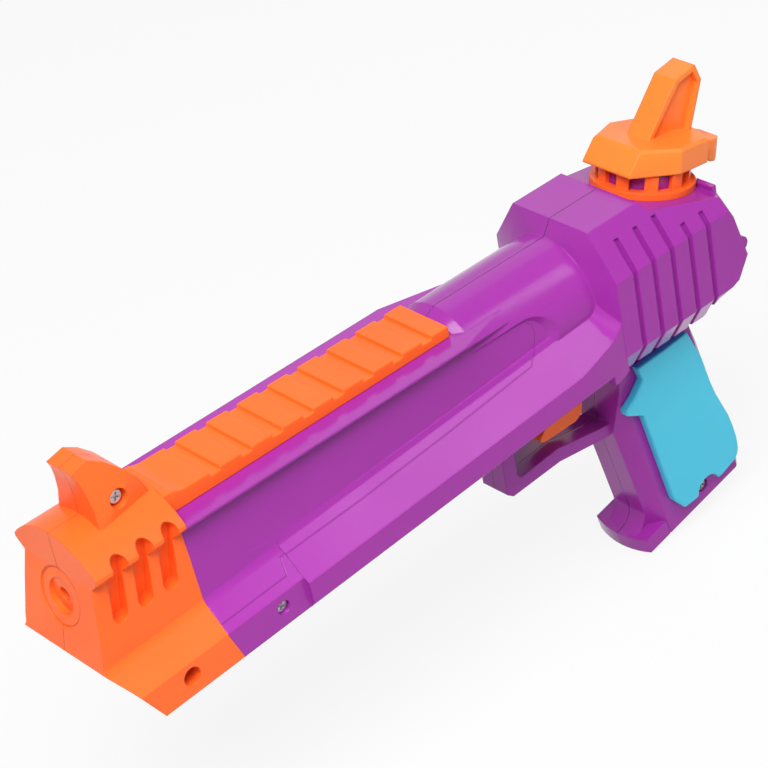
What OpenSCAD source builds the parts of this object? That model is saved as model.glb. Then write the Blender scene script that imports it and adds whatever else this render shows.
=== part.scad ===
// Trigger-pump water squirter: moulded housing halves, muzzle block, tank, pump and turn-off cap.
// X runs back from the muzzle, Y to the right, Z up; the origin is on the nozzle axis.

/* [Barrel] */
// Muzzle block length along its top, front face to seam
muzzle_l = 34; // [33:0.25:35]
// Top of the muzzle arch above the nozzle axis
arch_top = 23; // [22:0.25:24]
// Radius of the muzzle arch
arch_r = 28; // [27:0.5:32]
// Height of the flat barrel shoulders above the nozzle axis
shoulder_z = 13; // [12.5:0.1:13.5]
// Half width over the shoulders
shoulder_hw = 20.7; // [20.2:0.1:21.4]
// Half width of the side wall just under the shoulder
neck_hw = 17; // [16.6:0.1:17.4]
// Half width of the side wall where the flare starts
foot_hw = 20; // [19.6:0.1:20.4]
// Half width of the lower band
band_hw = 29.4; // [28.6:0.1:30.2]
// Depth of the keel below the nozzle axis, at the front of the ledge
keel_depth = 33.2; // [32.4:0.2:34]
// Upward slope of the keel to the rear, in degrees
keel_rise = 3.66; // [3.2:0.02:4]
// Front end of the side ledge
ledge_x = 63.5; // [60:0.5:68]
// Half width over the side ledge
ledge_hw = 31.5; // [30.8:0.1:32.4]
// Forward lean of the lower muzzle face, in degrees
face_lean = 10.5; // [8:0.5:12]
// Muzzle side ports per side
port_count = 3; // [1:1:3]
// Width of one muzzle port
port_w = 5.5; // [4.5:0.25:6]

/* [Sight and rail] */
// Half width of the front sight
sight_hw = 6; // [5.4:0.1:6.6]
// Height of the front sight above the nozzle axis
sight_z = 42.5; // [40:0.5:45]
// Half width of the top rail
rail_hw = 11.2; // [10.4:0.1:12]
// Height of the top rail above the shoulders
rail_h = 4.1; // [3.6:0.1:4.6]
// Rear end of the top rail
rail_end = 150.5; // [148.5:0.5:150.5]
// Number of cross grooves in the rail
groove_count = 8; // [4:1:8]
// Groove spacing along the rail
groove_pitch = 12.46; // [11.5:0.02:12.6]
// Groove width
groove_w = 4; // [3:0.25:5]
// Groove depth
groove_d = 1.5; // [1:0.1:2]

/* [Rear block] */
// Radius of the round rear barrel
tube_r = 20.9; // [20.5:0.1:21.5]
// Drop of the round barrel's axis below the nozzle axis
tube_drop = 2.7; // [2.2:0.1:3.2]
// Front face of the rear block
block_x = 208.5; // [207.5:0.25:209.5]
// Rear end of the rear block
block_end = 269; // [268:0.25:270]
// Top of the rear block above the nozzle axis
block_top = 23.4; // [23:0.1:24]
// Half width of the block's flat top
block_top_hw = 17.5; // [17:0.1:18]
// Half width over the block's sides
block_hw = 28.5; // [28:0.1:29]
// Underside of the rear block below the nozzle axis
block_bottom = 30; // [29.6:0.1:30.4]
// Finger grooves per side
serration_count = 5; // [2:1:5]
// Spacing of the finger grooves
serration_pitch = 8.75; // [8:0.05:9]
// Width of one finger groove
serration_w = 2.2; // [1.6:0.1:3]
// Depth of one finger groove
serration_d = 1.3; // [0.8:0.1:1.6]

/* [Grip and guard] */
// Rake of the grip from upright, in degrees
grip_rake = 12.5; // [11.5:0.25:13.5]
// Depth of the grip, front strap to back strap
grip_depth = 43.6; // [43:0.2:45]
// Half width of the grip core
grip_hw = 12.5; // [12:0.1:13]
// Length of the grip below the guard
grip_l = 57.5; // [56:0.5:60]
// Forward reach of the toe at the grip's base
toe_reach = 9; // [7:0.5:10]
// Thickness of a grip panel
panel_t = 3.4; // [2.8:0.2:4]
// Half width of the trigger guard
guard_hw = 6; // [5.6:0.1:6.4]
// Thickness of the guard bar
guard_t = 5; // [4.4:0.1:5.6]

/* [Trigger and pump] */
// Half width of the trigger blade
trigger_hw = 4; // [3.6:0.1:4.2]
// Trigger travel
trigger_travel = 9; // [6:0.5:9]
// Radius of the pump bore
bore_r = 6; // [5.6:0.1:6.2]
// Wall of the pump cylinder
bore_wall = 1.5; // [1.4:0.1:1.6]
// Radius of the piston rod
rod_r = 2.5; // [2.2:0.1:2.8]
// Turns of the return spring
spring_turns = 5; // [4:1:5]
// Wire diameter of the return spring
spring_wire = 0.8; // [0.6:0.05:0.85]
// Outer radius of the delivery tube
hose_r = 2.4; // [2.2:0.05:2.5]
// Inner radius of the delivery tube
hose_bore_r = 1.6; // [1.4:0.05:1.7]

/* [Nozzle] */
// Radius of the nozzle insert
nozzle_r = 9.5; // [9:0.1:10]
// Radius of the nozzle's inner step
nozzle_step_r = 6; // [5.6:0.1:6.4]
// Radius of the nozzle mouth
mouth_r = 2.4; // [2:0.1:2.8]
// Radius of the jet hole
jet_r = 0.8; // [0.6:0.05:1]

/* [Filler cap] */
// Backward tilt of the cap seat, in degrees
seat_tilt = 14.8; // [14.4:0.1:15.2]
// Inner radius of the filler neck
neck_bore_r = 11.5; // [11:0.1:12]
// Radius of the collar flange
collar_r = 18; // [17.6:0.1:18.4]
// Number of collar posts
post_count = 10; // [6:1:12]
// Half width of the cap skirt
skirt_hw = 17.5; // [17:0.1:18]
// Half width of the cap's fin
fin_hw = 5; // [4.4:0.1:5.6]
// Height of the fin above the seat
fin_h = 40; // [36:0.5:42]
// Reach of the thumb tongue behind the cap's axis
tongue_reach = 33; // [31.5:0.25:34]

/* [Housing] */
// Wall thickness of the moulded shells
wall = 2.4; // [2:0.1:2.6]
// Thickness of the inner ribs
rib_t = 2; // [1.6:0.1:2.4]
// Clearance of a sliding fit
slide_gap = 0.3; // [0.2:0.05:0.4]
// Radial clearance of a turning or piston fit
run_gap = 0.05; // [0.02:0.01:0.1]
// Clearance of a part held in the shells
seat_gap = 0.1; // [0.05:0.05:0.2]
// Wall of the inner water tank
tank_wall = 1.6; // [1.2:0.1:1.8]
// Radius of a screw head
screw_head_r = 2.2; // [2:0.1:2.4]
// Radius of a screw shank
screw_r = 1.3; // [1.1:0.05:1.4]

/* [Hidden] */
$fn = 48;
big = 400;
// Side profile of the muzzle face
chin_x = -5.2;
chin_z = -18.5;
lean_z = chin_z + abs(chin_x) / tan(face_lean);
seam_low_x = muzzle_l + 4.4;
seam_low_z = -36;
seam_bend_z = -24;
// Muzzle port line
port_pitch = 9.6;
port_x = 9.4;
port_top_z = 14;
port_low_z = -3;
port_floor = 14.4;
sight_base_hw = sight_hw + 4.6;
sight_rear_hw = sight_hw + 1.3;
nozzle_set = 0.4;
nozzle_t = 2.5;
flare_z = -11.9;
// Rail
rail_x = muzzle_l;
groove_x = 139.1;
// Rear block
crease_hi = 7.4;
crease_lo = -21.5;
bottom_hw = 23;
step_x = 231.5;
seat_x = 234.7;
seat_z = 19.5;
serration_x = 218.2;
lap = 0.3;
upper_lean = atan((block_hw - block_top_hw) / (block_top - crease_hi));
lower_lean = atan((block_hw - bottom_hw) / (block_bottom + crease_lo));
rim_x = block_end - 3.4;
rim_t = 2;
rim_z = 13.8;
rim_hw = 20.5;
rear_lean = 15.4;
rear_top_lean = 28;
rear_bulge = 6.4;
ear_w = 2.4;
ear_r = 2.6;
tube_x = rail_end + 0.5;
shoulder_end = 148;
recess_end = 188;
recess_r = 13;
recess_z = -0.5;
recess_draft = 1.7;
loft_l = 3.6;
loft_z = -8;
sweep_r = 15;
sweep_x = block_x - ledge_x - sweep_r + 6;
// Cap axis
cap_x = 251.5;
cap_z = seat_z - (cap_x - seat_x) * tan(seat_tilt);
rear_x = block_end + 11;
rear_z = cap_z - (rear_x - cap_x) * tan(seat_tilt);
neck_r = neck_bore_r + 2;
neck_top = 6.8;
seal_t = 1.2;
skirt_z = neck_top + seal_t;
skirt_top = skirt_z + 8;
crown_z = skirt_top + 1;
pocket_d = 2;
stub_r = 5;
flange_r = neck_r + 0.4;
flange_t = 1.6;
stub_h = 3;
// Receiver and guard
rec_hw = 10;
rec_z = -37;
post_x = 167;
rec_x0 = post_x - 2;
strap_x = 221;
grip_x = strap_x - 2;
grip_z = -60;
toe_lip = 6.3;
toe_fillet = 7;
gap_x = post_x + guard_t + 0.7;
bar_z = -58.3;
// Pump
pump_z = -30;
cyl_x = 223.5;
cyl_end = 247.5;
cyl_r = bore_r + bore_wall;
head_x = 227;
head_l = 4.5;
seal_x = head_x + 1.4;
seal_w = 1.8;
seal_in_r = bore_r - 1.4;
back_wall = 2.2;
spring_r = bore_r - 1.6;
spring_x = head_x + head_l;
spring_end = cyl_end - back_wall;
// Carriage of the trigger
car_x = 196;
car_l = 16;
car_hw = rec_hw - wall - slide_gap;
car_top = -25.6;
car_low = rec_z + wall + slide_gap;
blade_x = 186.2;
trigger_rear = strap_x - 4.4 - trigger_travel - slide_gap;
// Tank and tubes
tank_x0 = 62;
tank_mid = 212;
tank_end = 263;
tank_hw = 12.5;
tank_rear_hw = 21.5;
tank_low = -15.8;
tank_split = -3;
tank_top = 9.6;
tank_rear_top = 7.6;
valve_x = 230;
valve_l = 17;
valve_hw = 6;
valve_top = tank_low;
hose_z = -19.4;
hose_bend = abs(hose_z) / 2;
ball_r = 1.4;
feed_x = 243;
inlet_x = 242.5;
outlet_x = 235;
spigot_r = hose_bore_r - run_gap;
spigot_end = 15;
hose_front = spigot_end - 4;
ribs_x = [70, 110, 150];
// Screws: [x, z, head seat half width, deepest half width] through the left half into the right
shell_screw_at = [[55.5, -27.2, 26.2, 9], [243, -62, 9.6, 8], [250.3, -106, 9.8, 8]];
muzzle_screw_at = [[18.5, -29.6, 8, 9], [20.9, 26.6, 5.4, 3.6]];
boss_r = screw_head_r + 2.2;
sink_gap = 1;
pilot_gap = 0.05;

// Sub-part to draw

function tube_edge(z) = sqrt(pow(tube_r, 2) - pow(z + tube_drop, 2)) - 0.3;
function both(half) = concat(half, [for (i = [len(half) - 1:-1:0]) [-half[i][0], half[i][1]]]);

module along_x(x0, l) translate([x0, 0, 0]) rotate([90, 0, 90]) linear_extrude(l) children();
module along_y(y0, l) translate([0, y0 + l, 0]) rotate([90, 0, 0]) linear_extrude(l) children();
module rod_x(x0, l, r, z = 0) translate([x0, 0, z]) rotate([0, 90, 0]) cylinder(h = l, r = r);
module rod_y(x, z, y0, l, r) translate([x, y0, z]) rotate([-90, 0, 0]) cylinder(h = l, r = r);
module both_sides() {
  children();
  mirror([0, 1, 0]) children();
}
module box(x0, x1, hw, z0, z1) translate([x0, -hw, z0]) cube([x1 - x0, 2 * hw, z1 - z0]);
module keel_frame() translate([ledge_x, 0, 0]) rotate([0, -keel_rise, 0]) children();
module cap_frame() translate([cap_x, 0, cap_z]) rotate([0, seat_tilt, 0]) children();
module grip_frame() translate([grip_x, 0, grip_z]) rotate([0, -grip_rake, 0]) children();
module half_space(side) translate([-big / 2, side < 0 ? -big : 0, -big / 2]) cube([2 * big, big, big]);

// Cross-sections, drawn as Y and Z
module wall_section() polygon(both([[neck_hw, shoulder_z - 3.7], [neck_hw + 1.3, 0.8],
  [foot_hw - 0.7, -8], [foot_hw, flare_z - 2], [foot_hw, flare_z - 9]]));
module shoulder_section() polygon(both([[shoulder_hw, shoulder_z], [shoulder_hw, shoulder_z - 0.7],
  [neck_hw, shoulder_z - 3.8]]));
module arch_section() {
  intersection() {
    translate([0, arch_top - arch_r]) circle(arch_r);
    polygon(both([[shoulder_hw, arch_top], [shoulder_hw, shoulder_z - 0.4], [neck_hw, shoulder_z - 3.8]]));
  }
}
module band_section() polygon(both([[foot_hw - 0.4, flare_z + 0.7], [foot_hw + 0.1, flare_z - 0.7],
  [foot_hw + 0.8, flare_z - 2], [foot_hw + 2, flare_z - 3.2], [band_hw, flare_z - 9.8],
  [band_hw, -keel_depth]]));
module ledge_section() polygon(both([[foot_hw - 0.4, -11], [foot_hw + 0.4, -12.9],
  [ledge_hw - 6.6, -17], [ledge_hw, -23], [ledge_hw, 2 - keel_depth], [ledge_hw - 2, -keel_depth]]));
module block_section(inset) polygon(both([[block_top_hw - inset / 2, block_top - inset],
  [block_hw - inset, crease_hi - inset / 3], [block_hw - inset, crease_lo + inset / 3],
  [bottom_hw - inset / 2, inset - block_bottom]]));

// Side profiles, drawn as X and Z
module muzzle_side() polygon([[0, 60], [0, lean_z], [chin_x, chin_z], [0, -25.8], [6.8, -37.4],
  [6.8, -45], [seam_low_x, -45], [seam_low_x, seam_low_z], [muzzle_l, seam_bend_z], [muzzle_l, 60]]);
module barrel_side(cut = 0) polygon([[muzzle_l + cut, 60], [muzzle_l + cut, seam_bend_z],
  [seam_low_x + cut, seam_low_z], [seam_low_x + cut, -60], [big, -60], [big, 60]]);
module block_side(inset) polygon([[block_x + inset, block_top - inset], [step_x, block_top - inset],
  [seat_x, seat_z - inset], [cap_x, cap_z - inset], [rear_x, rear_z - inset], [rear_x, 2],
  [block_end + 3.5 - inset, -8], [block_end - 5 - inset, -20.3], [block_end - 14 - inset, -23.5],
  [block_end - 18.5 - inset, inset - block_bottom], [block_x + inset, inset - block_bottom]]);
// Plan of the rear end, seen along its leaning edge
module rear_plan(inset) polygon([[-90, -60], [-2 - inset, -60], [-2 - inset, -block_hw - 4],
  [4 - inset, -rim_hw], [rear_bulge - inset, -9], [rear_bulge - inset, 9], [4 - inset, rim_hw],
  [-2 - inset, block_hw + 4], [-2 - inset, 60], [-90, 60]]);
module block_form(section_inset, inset) intersection() {
  along_x(block_x - 1, 80) block_section(section_inset);
  along_y(-60, 120) block_side(inset);
  rear_cut(0, -12, rear_lean) rear_plan(inset);
  rear_cut(-4.7, 4.8, rear_top_lean) rear_plan(inset);
}
module rear_cut(dx, z, lean) translate([block_end + dx, 0, z]) rotate([0, -lean, 0]) translate([0, 0, -60])
  linear_extrude(120) children();
// Side recess of the round barrel, its walls drafted outward
module recess() {
  low = recess_r - (tube_r - neck_hw + 2) * recess_draft;
  high = low + 10 * recess_draft;
  translate([recess_end - recess_r, neck_hw - 2, recess_z]) rotate([-90, 0, 0])
    cylinder(h = 10, r1 = low, r2 = high);
  along_x(tube_x - 5, recess_end - recess_r - tube_x + 5) translate([neck_hw - 2, recess_z])
    polygon([[0, low], [10, high], [10, -high], [0, -low]]);
}
// End of the ledge, its sloping top swept up to the rear block
module ledge_sweep() keel_frame() translate([sweep_x, 0, sweep_r - 23]) intersection() {
  rotate([90, 0, 0]) rotate_extrude() polygon(ring_profile());
  translate([0, -60, -60]) cube([40, 120, 60]);
}
function ring_side(s) = [[sweep_r, s * ledge_hw], [sweep_r - 6, s * (ledge_hw - 6.6)],
  [sweep_r - 10.1, s * (foot_hw + 0.4)], [sweep_r - 12, s * (foot_hw - 0.4)]];
function ring_profile() = concat([[sweep_r + 14, -ledge_hw]], ring_side(-1),
  [for (i = [3:-1:0]) ring_side(1)[i]], [[sweep_r + 14, ledge_hw]]);

// Grip profile, drawn back and up along the raked grip
module grip_side(inset) {
  front = -3.6 + inset;
  back = grip_depth - 3.6 - inset;
  low = inset - grip_l;
  polygon([[6 + inset, 32], [front, -4], [front, low + 1], [front + 1, low], [back - 3, low],
    [back + 2, low + 4], [back + 2.5, low + 15], [back - 0.8, low + 37], [back - 1, 4], [back - 2.6, 16.3],
    [back - 2.6, 32]]);
}
module grip_plan(inset) {
  back = grip_depth - inset;
  polygon(both([[7.5 - inset / 2, -3.6 + inset], [grip_hw - inset, 1 + inset / 2],
    [grip_hw - inset, back - 6], [8 - inset, back]]));
}
module grip_body(inset) grip_frame() intersection() {
  along_y(-grip_hw, 2 * grip_hw) grip_side(inset);
  translate([0, 0, -70]) rotate([0, 0, -90]) linear_extrude(110) grip_plan(inset);
}
module toe() grip_frame() {
  intersection() {
    along_y(-grip_hw, 2 * grip_hw) translate([-3.6 - toe_reach, -grip_l]) square([toe_reach + 4, toe_lip]);
    translate([20, 0, -80]) cylinder(h = 60, r = 23.6 + toe_reach);
  }
  along_y(-7.5, 15) translate([-3.6 - toe_fillet, toe_lip - grip_l]) difference() {
    square([toe_fillet + 1, toe_fillet]);
    translate([0, toe_fillet]) circle(toe_fillet);
  }
}
module panel_outline() polygon([[5, 0], [-1.3, 5.4], [-1.3, 7.6], [4, 9.4], [9.8, 13], [9.4, 19],
  [22.3, 16.6], [33.8, 15], [36.2, 1], [36.4, -12], [36.9, -18], [38.1, -25], [39.1, -30.6],
  [39.4, -36], [39.3, -42], [38.6, -46.4], [37.4, -49], [35.4, -50.4], [28, -51.2], [14, -50.6], [8, -49.6],
  [4.8, -43]]);
module guard_side() difference() {
  polygon([[post_x, -22], [post_x, -62.5], [post_x + 2.5, bar_z - guard_t - 1.2], [192, bar_z - guard_t],
    [212, -66], [222, -66.5], [230, -63], [230, -30], [222, -22]]);
  polygon([[gap_x, rec_z - 0.5], [gap_x, bar_z], [gap_x + 1.5, bar_z - 1], [192, bar_z + 0.5], [212, -61.4],
    [217.5, -61.8], [strap_x, -58.5], [strap_x, rec_z - 0.5]]);
}

// Housing
module housing_outer() {
  intersection() {
    union() {
      along_x(muzzle_l - 2, recess_end + 4 - muzzle_l) wall_section();
      shoulders();
      keel_frame() along_x(-40, 45) band_section();
      intersection() {
        union() {
          keel_frame() along_x(0, 146) ledge_section();
          ledge_sweep();
        }
        translate([0, 0, -60]) linear_extrude(90) ledge_plan();
      }
    }
    along_y(-60, 120) barrel_side();
    box(0, block_x + 0.6, 60, -60, 60);
  }
  rear_tube();
  rear_block();
  along_y(-guard_hw, 2 * guard_hw) guard_side();
  box(rec_x0, strap_x + 10, rec_hw, rec_z, -20);
  grip_body(0);
  toe();
}
module ledge_plan() polygon([[0, -ledge_hw], [recess_end - 2, -ledge_hw], [block_x + 1, 0.2 - block_hw],
  [block_x + 1, block_hw - 0.2], [recess_end - 2, ledge_hw], [0, ledge_hw]]);
module shoulders() {
  along_x(muzzle_l - 2, shoulder_end + 2 - muzzle_l) shoulder_section();
  difference() {
    both_sides() hull() {
      along_x(shoulder_end, 0.1) polygon([[rail_hw, shoulder_z], [shoulder_hw, shoulder_z],
        [shoulder_hw, shoulder_z - 0.7], [neck_hw, shoulder_z - 3.8], [rail_hw, shoulder_z - 3.8]]);
      along_x(shoulder_end + 24, 0.1) polygon([[8, shoulder_z], [tube_edge(shoulder_z), shoulder_z],
        [tube_edge(shoulder_z - 3.8), shoulder_z - 3.8], [8, shoulder_z - 3.8]]);
    }
    box(0, rail_end + seat_gap, rail_hw + seat_gap, shoulder_z, 40);
  }
}
module rear_tube() difference() {
  union() {
    rod_x(tube_x + 4, block_x - tube_x, tube_r, -tube_drop);
    translate([tube_x, 0, -tube_drop]) rotate([0, 90, 0]) cylinder(h = 4, r1 = tube_r - 2.2, r2 = tube_r);
  }
  difference() {
    both_sides() recess();
    along_x(140, 60) wall_section();
    box(140, 200, neck_hw, 0, 40);
  }
}
module seat_rim() difference() {
  box(rim_x - rim_t, rim_x, rim_hw, 0, rim_z);
  cap_frame() cylinder(h = 30, r = collar_r + slide_gap);
}
module rear_block() difference() {
  union() {
    block_form(0, 0);
    intersection() {
      hull() {
        along_x(block_x, 1) block_section(0.15);
        rod_x(block_x - loft_l, 1, tube_r - 0.2, -tube_drop);
      }
      box(block_x - 20, block_x + 0.8, 60, loft_z, 60);
    }
    seat_rim();
    both_sides() rod_y(block_end - 0.6, -8.7, block_hw - 1.3 - ear_w, ear_w, ear_r);
  }
  for (i = [0:serration_count - 1]) serration(serration_x + i * serration_pitch, i < 3 ? 12.5 : 5);
}
// Saw-tooth finger groove round the side: the upper slope, the flat side and the lower slope
module tooth(x, l) translate([x, 0, -lap]) linear_extrude(l + 2 * lap)
  polygon([[-serration_w - lap, lap * serration_d / serration_w], [0, -serration_d], [lap, lap]]);
module serration(x, upper_l) both_sides() {
  translate([0, block_hw, crease_lo]) tooth(x, crease_hi - crease_lo);
  translate([0, block_hw, crease_hi]) rotate([upper_lean, 0, 0]) tooth(x, upper_l);
  translate([0, block_hw, crease_lo]) rotate([-lower_lean, 0, 0]) mirror([0, 0, 1]) tooth(x, 16);
}
module housing_cavity() {
  intersection() {
    union() {
      along_x(muzzle_l - 3, block_x - muzzle_l) polygon(both([[neck_hw - wall, shoulder_z - wall],
        [neck_hw - wall, shoulder_z - 3.7], [neck_hw + 1.3 - wall, 0.8], [foot_hw - 0.7 - wall, -8],
        [foot_hw - wall, -20]]));
      keel_frame() along_x(-45, 186) polygon(both([[foot_hw - wall, -14.6],
        [band_hw - wall, -23.2 - wall / 2], [band_hw - wall, wall - keel_depth]]));
    }
    box(0, block_x + 1, 60, -60, 60);
  }
  rod_x(tube_x + 4, block_x - tube_x, tube_r - wall - 1, -tube_drop);
  block_form(wall + serration_d, wall);
  box(blade_x, strap_x + 8, rec_hw - wall, rec_z + wall, -20);
  difference() {
    grip_body(wall);
    box(0, big, 60, -27, 60);
  }
}
module screw_hole(p, gap = 0.2) {
  rod_y(p[0], p[1], -60, 60 - p[2], screw_head_r + gap);
  rod_y(p[0], p[1], -p[2] - 1, p[2] + p[3] + 1, screw_r + pilot_gap);
}
module screw(p) difference() {
  union() {
    rod_y(p[0], p[1], -p[2] - 1.8, 1.8, screw_head_r);
    rod_y(p[0], p[1], -p[2], p[2] + p[3] - 0.5, screw_r);
  }
  for (a = [0, 90]) translate([p[0], -p[2] - 1.8, p[1]]) rotate([0, a + 20, 0])
    cube([3, 1.6, 0.7], center = true);
}
module boss_walls(list) for (p = list) {
  rod_y(p[0], p[1], -60, 60, boss_r);
  rod_y(p[0], p[1], 0, 60, boss_r);
}
module shell(side) difference() {
  intersection() {
    union() {
      difference() {
        housing_outer();
        housing_cavity();
      }
      intersection() {
        housing_outer();
        union() {
          boss_walls(shell_screw_at);
          for (x = ribs_x) box(x, x + rib_t, 24, -26, shoulder_z - 1);
          box(cyl_x + 4, cyl_x + 4 + rib_t, grip_hw, -50, pump_z);
          box(cyl_end - 5, cyl_end - 5 + rib_t, grip_hw, -50, pump_z);
        }
      }
    }
    half_space(side);
  }
  for (p = shell_screw_at) screw_hole(p);
  tank_room();
  rod_x(cyl_x - 4, cyl_end - cyl_x + 4 + seat_gap, cyl_r + seat_gap, pump_z);
  box(valve_x - seat_gap, valve_x + valve_l + seat_gap, valve_hw + seat_gap, pump_z, 0);
  rod_x(20, valve_x, hose_r + seat_gap, hose_z);
  box(blade_x - 1, strap_x - 0.6, trigger_hw + slide_gap, rec_z - 5, rec_z + wall + 1);
  cap_frame() translate([0, 0, -20]) cylinder(h = 40, r = neck_r + seat_gap);
}
module tank_room() {
  box(tank_x0 - seat_gap, tank_mid + 1, tank_hw + seat_gap, tank_low - seat_gap, tank_top + seat_gap);
  box(tank_mid - seat_gap, tank_end + seat_gap, tank_rear_hw + seat_gap, tank_low - seat_gap,
    tank_rear_top + seat_gap);
}
module left_shell() color("mediumorchid") shell(-1);
module right_shell() color("mediumorchid") shell(1);

// Muzzle block
module sight() intersection() {
  along_y(-20, 40) polygon([[11.4, 12], [11.4, 22], [11.8, 28], [11.2, 34], [10.3, 38], [9, sight_z - 1.6],
    [15.3, sight_z], [20.4, 39.2], [25.6, 34], [30, 27.6], [32.6, 21.6], [32.6, 12]]);
  along_x(0, 40) polygon(both([[sight_hw - 0.2, sight_z + 1], [sight_hw, sight_z - 1], [sight_base_hw, 20],
    [sight_base_hw, 12]]));
  linear_extrude(60) polygon([[5, -sight_base_hw], [12, -sight_base_hw], [33, -sight_rear_hw],
    [33, sight_rear_hw], [12, sight_base_hw], [5, sight_base_hw]]);
}
module port(i) translate([0, port_floor, 0]) {
  x = port_x + i * port_pitch;
  along_y(0, 20) translate([x, port_top_z]) rotate(-face_lean) {
    circle(d = port_w);
    translate([-port_w / 2, port_low_z - port_top_z]) square([port_w, port_top_z - port_low_z]);
    translate([0, port_low_z - port_top_z]) circle(d = port_w);
  }
}
module muzzle_solid() {
  intersection() {
    union() {
      along_x(-8, 50) arch_section();
      along_x(-8, 50) wall_section();
      keel_frame() along_x(-75, 60) band_section();
    }
    along_y(-60, 120) muzzle_side();
  }
  sight();
}
module muzzle_cavity() {
  along_x(6, 50) polygon(both([[11.5, shoulder_z - 2], [12, -8], [13, -22.5]]));
  keel_frame() along_x(-52, 45) polygon(both([[band_hw - 6, wall - 1 - keel_depth], [foot_hw - 2, -18]]));
}
module muzzle_half(side) difference() {
  intersection() {
    union() {
      difference() {
        muzzle_solid();
        muzzle_cavity();
      }
      intersection() {
        muzzle_solid();
        boss_walls([muzzle_screw_at[0]]);
      }
    }
    half_space(side);
  }
  for (p = muzzle_screw_at) screw_hole(p, sink_gap);
  both_sides() for (i = [0:port_count - 1]) port(i);
  face_bore(nozzle_r + 0.5, nozzle_set);
  face_bore(nozzle_r, nozzle_set + nozzle_t);
  rod_x(-20, 40, nozzle_r - 2 + seat_gap);
}
module face_bore(r, depth) intersection() {
  rod_x(-20, 40, r);
  face_slab(depth);
}
module face_slab(depth) translate([0, 0, lean_z]) rotate([0, face_lean, 0]) translate([-50, -60, -60])
  cube([50 + depth, 120, 120]);
module muzzle_left_half() color("darkorange") muzzle_half(-1);
module muzzle_right_half() color("darkorange") muzzle_half(1);
module nozzle_insert() color("darkorange") difference() {
  union() {
    face_bore(nozzle_r - seat_gap, nozzle_set + nozzle_t);
    rod_x(-1, 9, nozzle_r - 2);
    rod_x(7, spigot_end - 7, spigot_r);
  }
  face_slab(nozzle_set);
  rod_x(-10, 10, nozzle_step_r);
  rod_x(-10, 14, mouth_r);
  rod_x(-10, 40, jet_r);
}

// Top rail
module top_rail() color("darkorange") difference() {
  union() {
    box(rail_x, rail_end, rail_hw, shoulder_z, shoulder_z + rail_h);
    along_y(-rail_hw, 2 * rail_hw) difference() {
      translate([rail_x, shoulder_z]) square([8, arch_top - shoulder_z - 3]);
      translate([rail_x + 9, shoulder_z + rail_h + 8]) circle(8.4);
    }
  }
  for (i = [0:groove_count - 1])
    translate([groove_x - i * groove_pitch, -big / 2, shoulder_z + rail_h - groove_d])
      cube([groove_w, big, 10]);
}

// Grip panels
module grip_panel(side) difference() {
  grip_frame() along_y(side < 0 ? -grip_hw - panel_t : grip_hw, panel_t) panel_outline();
  rod_y(shell_screw_at[2][0], shell_screw_at[2][1], -60, 120, boss_r + 1);
}
module left_grip_panel() color("turquoise") grip_panel(-1);
module right_grip_panel() color("turquoise") grip_panel(1);

// Trigger and pump
module trigger() color("darkorange") difference() {
  union() {
    along_y(-trigger_hw, 2 * trigger_hw) difference() {
      polygon([[car_x, car_low + 1], [car_x - 2, rec_z - 2], [blade_x, -52.6], [blade_x + 2, -54],
        [trigger_rear - 4, -54], [trigger_rear - 1, -52.4], [trigger_rear, -49],
        [trigger_rear, car_low + 1]]);
      translate([blade_x - 9.8, -37.4]) circle(17.4);
    }
    box(car_x, car_x + car_l, car_hw, car_low, car_top);
  }
  rod_x(car_x + 6, 30, rod_r + run_gap, pump_z);
}
module piston_rod() color("white") difference() {
  union() {
    rod_x(car_x + 6, head_x - car_x - 5, rod_r, pump_z);
    rod_x(head_x, head_l, bore_r - slide_gap, pump_z);
  }
  difference() {
    rod_x(seal_x, seal_w, bore_r + 1, pump_z);
    rod_x(seal_x - 1, seal_w + 2, seal_in_r, pump_z);
  }
}
module piston_seal() color("dimgray") difference() {
  rod_x(seal_x, seal_w, bore_r - run_gap, pump_z);
  rod_x(seal_x - 1, seal_w + 2, seal_in_r, pump_z);
}
module pump_cylinder() color("white") difference() {
  rod_x(cyl_x, cyl_end - cyl_x, cyl_r, pump_z);
  rod_x(cyl_x + 1.6, cyl_end - back_wall - cyl_x - 1.6, bore_r, pump_z);
  rod_x(cyl_x - 1, 4, rod_r + slide_gap, pump_z);
  translate([feed_x, 0, pump_z]) cylinder(h = cyl_r + 1, r = 1);
}
module return_spring() color("silver") {
  rings = 12 * spring_turns;
  sides = 6;
  wire_r = spring_wire / 2;
  l = spring_end - spring_x - spring_wire - 0.1;
  points = [for (i = [0:rings], j = [0:sides - 1])
    let (a = 30 * i, b = 360 * j / sides, r = spring_r + wire_r * cos(b))
    [spring_x + wire_r + 0.05 + l * i / rings + wire_r * sin(b), r * cos(a), pump_z + r * sin(a)]];
  walls = [for (i = [0:rings - 1], j = [0:sides - 1]) let (k = (j + 1) % sides)
    [i * sides + j, i * sides + k, (i + 1) * sides + k, (i + 1) * sides + j]];
  polyhedron(points, concat(walls, [[for (j = [sides - 1:-1:0]) j]],
    [[for (j = [0:sides - 1]) rings * sides + j]]), convexity = 10);
}
module valve_block() color("white") difference() {
  union() {
    box(valve_x, valve_x + valve_l, valve_hw, pump_z, valve_top);
    rod_x(valve_x - 5, 6, spigot_r, hose_z);
  }
  rod_x(valve_x - 5, valve_l + 10, cyl_r + run_gap, pump_z);
  translate([inlet_x, 0, hose_z - 1.2]) cylinder(h = 10, r = ball_r + 0.4);
  rod_x(outlet_x - 2.5, 5, ball_r + 0.4, hose_z);
  rod_x(valve_x - 6, 20, 0.8, hose_z);
  rod_x(outlet_x, inlet_x - outlet_x, 0.8, hose_z);
  translate([feed_x, 0, pump_z]) cylinder(h = hose_z - pump_z, r = 1);
}
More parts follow.
